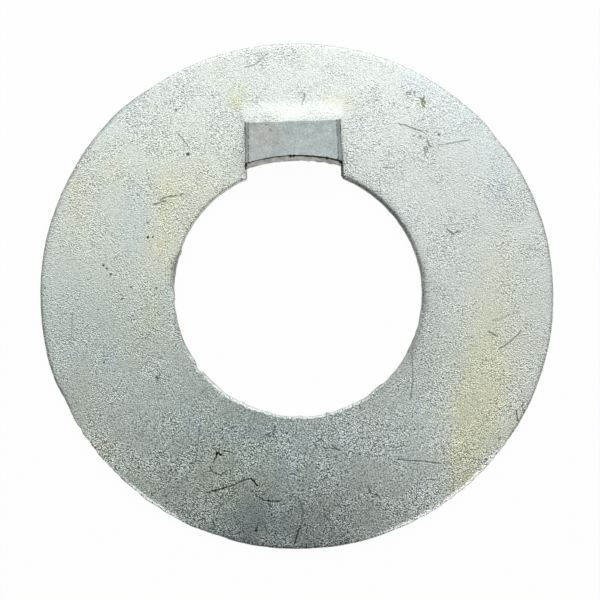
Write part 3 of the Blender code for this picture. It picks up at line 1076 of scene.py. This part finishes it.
def tab_end(graph, place, level):
    """Colour of the tab's end face: mottled, darker to the right, with a dark ragged lip and painted shadow
    in its corners.
    """
    across, from_side = across_tab(graph, place)
    tone = graph.ramp(graph.noise(place, *END_MOTTLES), *END_TONES)
    tone = graph.times(tone, graph.ramp(level, *END_FOOT))
    tone = graph.times(tone, graph.ramp(across, *over_halves(*END_HALVES)))
    colour = graph.toned(rgb(TAB_END), tone)
    wandering = graph.plus(graph.centred(place, *LIP_RAGS), LIP_RAGGED, level)
    lower = graph.ramp(across, *over_halves(*LIP_HALVES))
    lip = graph.ramp(graph.minus(wandering, lower), *LIP_LEVELS)
    # Painted shadow in the end's corners, by the notch's walls
    lip = graph.math("MAXIMUM", lip, graph.ramp(from_side, *LIP_CORNER))
    return graph.blend(lip, colour, rgb(TAB_LIP_AND_SHADOW))


TORN = (0.42, 0.41, 0.385)
TORN_SCALE = 3000.0
TORN_TONES = (0.2, 0.8, 0.8, 1.2)
BRIGHTEST = (0.93, 0.97, 0.94)
METALLIC = 0.95
ROUGHNESS = 0.40
TORN_ROUGHNESS = 0.60
TAB_SMOOTHER = 0.8  # share of the bumps that the tab lacks


def zinc():
    """Dull zinc plating: grain, flecks, stains, scratches, toned edges, a smoother tab and torn walls, with
    painted light and shade in the tint, edges, tab sides and end corners.
    """
    graph = Graph("zinc")
    place = graph.add("TexCoord")["Object"]
    kind = graph.attribute("kind")
    level = graph.attribute("level")
    kinds = (WALL_KIND, TIP_KIND, TAB_KIND)
    is_wall, is_tip, is_tab = [graph.math("COMPARE", kind, number, KIND_ROOM) for number in kinds]

    height, factor = grain(graph, place, graph.attribute("grain"))
    mark = marks(graph, place)
    edges = edge_factor(graph, place)
    tinged = tinge(graph, place)
    # The tint holds the stains and painted light and shade: the broad shading, the lighter top, the
    # highlight above the fold, the dark bottom
    stained_and_shaded = graph.tinted(rgb(ZINC), graph.attribute("tint", "Color"))
    tab_colour, tab_tone = tab_face(graph, place)
    colour = graph.blend(is_tab, graph.tinted(stained_and_shaded, tinged), graph.tinted(tab_colour, tinged))
    colour = graph.blend(is_wall, colour, rgb(TORN))
    tone = graph.choose(is_tab, factor, tab_tone)
    torn_tone = graph.ramp(graph.noise(place, TORN_SCALE, 2.0), *TORN_TONES)
    tone = graph.times(graph.choose(is_wall, tone, torn_tone), edges)
    colour = graph.blend(is_tip, graph.toned(colour, tone), tab_end(graph, place, level))
    colour = graph.toned(colour, graph.plus(mark, -1.0, 1.0))
    graph.dress("Base Color", graph.vector("MINIMUM", colour, BRIGHTEST))

    graph.dress("Metallic", METALLIC)
    torn = graph.math("MAXIMUM", is_wall, is_tip)
    graph.dress("Roughness", graph.plus(torn, TORN_ROUGHNESS - ROUGHNESS, ROUGHNESS))
    height = graph.minus(graph.times(height, graph.plus(is_tab, -TAB_SMOOTHER, 1.0)), mark)
    bump = graph.add("Bump", {"Strength": 1.0, "Distance": BUMP_HEIGHT, "Height": height})
    graph.dress("Normal", bump[0])
    return graph.material


FLOOR_GLOW = 0.965
PALE = (0.9, 0.9, 0.9, 1.0)
WHITE = (1.0, 1.0, 1.0, 1.0)


def pale_material(name, glow):
    """Pale matt paint that looks white to the camera, to reflections and through glass."""
    graph = Graph(name)
    graph.nodes.clear()
    path = graph.add("LightPath")
    seen = graph.math("MAXIMUM", path["Is Camera Ray"], path["Is Glossy Ray"])
    seen = graph.math("MAXIMUM", seen, path["Is Transmission Ray"])
    paint = graph.add("BsdfDiffuse", {"Color": PALE})[0]
    white = graph.add("Emission", {"Color": WHITE, "Strength": 1.0})[0]
    mix = graph.add("MixShader", {0: graph.times(seen, glow), 1: paint, 2: white})
    graph.add("OutputMaterial", {"Surface": mix[0]})
    return graph.material


FLOOR_SIZE = 6.0
BACKDROP_RADIUS = 2.9
BACKDROP_HEIGHT = 0.75
BACKDROP_STEPS = 96


def build_stage():
    """A pale floor and a low round backdrop."""
    bpy.ops.mesh.primitive_plane_add(size=FLOOR_SIZE)
    floor = bpy.context.object
    bpy.ops.mesh.primitive_cylinder_add(
        vertices=BACKDROP_STEPS,
        radius=BACKDROP_RADIUS,
        depth=BACKDROP_HEIGHT,
        end_fill_type="NOTHING",
        location=(0, 0, BACKDROP_HEIGHT / 2),
    )
    backdrop = bpy.context.object
    for name, thing, glow in (("floor", floor, FLOOR_GLOW), ("backdrop", backdrop, 1.0)):
        thing.name = name
        thing.data.materials.append(pale_material(f"{name}_paint", glow))


WORLD_LEVEL = 0.25
SKY_RADIANCE = 1.4
SKY_HEIGHT = 0.5
SKY_WIDTH = 1.2
SKY_DEPTH = 0.9  # from over the washer's middle out beyond the tab
SKY_TURN = radians(8.3)


def build_lights():
    """A dim even room, and one large soft light over the half towards the tab."""
    world = bpy.data.worlds.new("room")
    world.use_nodes = True
    back = world.node_tree.nodes["Background"]
    back.inputs["Color"].default_value = WHITE
    back.inputs["Strength"].default_value = WORLD_LEVEL
    bpy.context.scene.world = world

    data = bpy.data.lights.new("soft_sky", "AREA")
    data.shape = "RECTANGLE"
    data.size = SKY_WIDTH
    data.size_y = SKY_DEPTH
    data.energy = SKY_RADIANCE * pi * data.size * data.size_y
    light = add_object("soft_sky", data)
    middle = SKY_DEPTH / 2
    light.location = (middle * sin(SKY_TURN), middle * cos(SKY_TURN), SKY_HEIGHT)
    light.rotation_euler = (0, 0, -SKY_TURN)


def build_camera():
    """The camera looks straight down, turned so that the tab leans as it does in the photograph."""
    data = bpy.data.cameras.new("camera")
    data.angle = 2 * atan(PICTURE / 2 / CAMERA_PIXELS)
    data.clip_start = 0.01
    camera = add_object("camera", data)
    middle = (PICTURE - 1) / 2
    place = Vector((*part_place(middle, middle), size.thickness + CAMERA_PIXELS * size.pixel))
    camera.matrix_world = Matrix.Translation(place) @ Matrix.Rotation(-ROLL_ANGLE, 4, "Z")
    bpy.context.scene.camera = camera


washer = build_washer()
washer.data.materials.append(zinc())
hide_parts(NODE)
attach(washer, "root")
build_stage()
build_lights()
build_camera()
bpy.context.scene.view_settings.view_transform = "Standard"
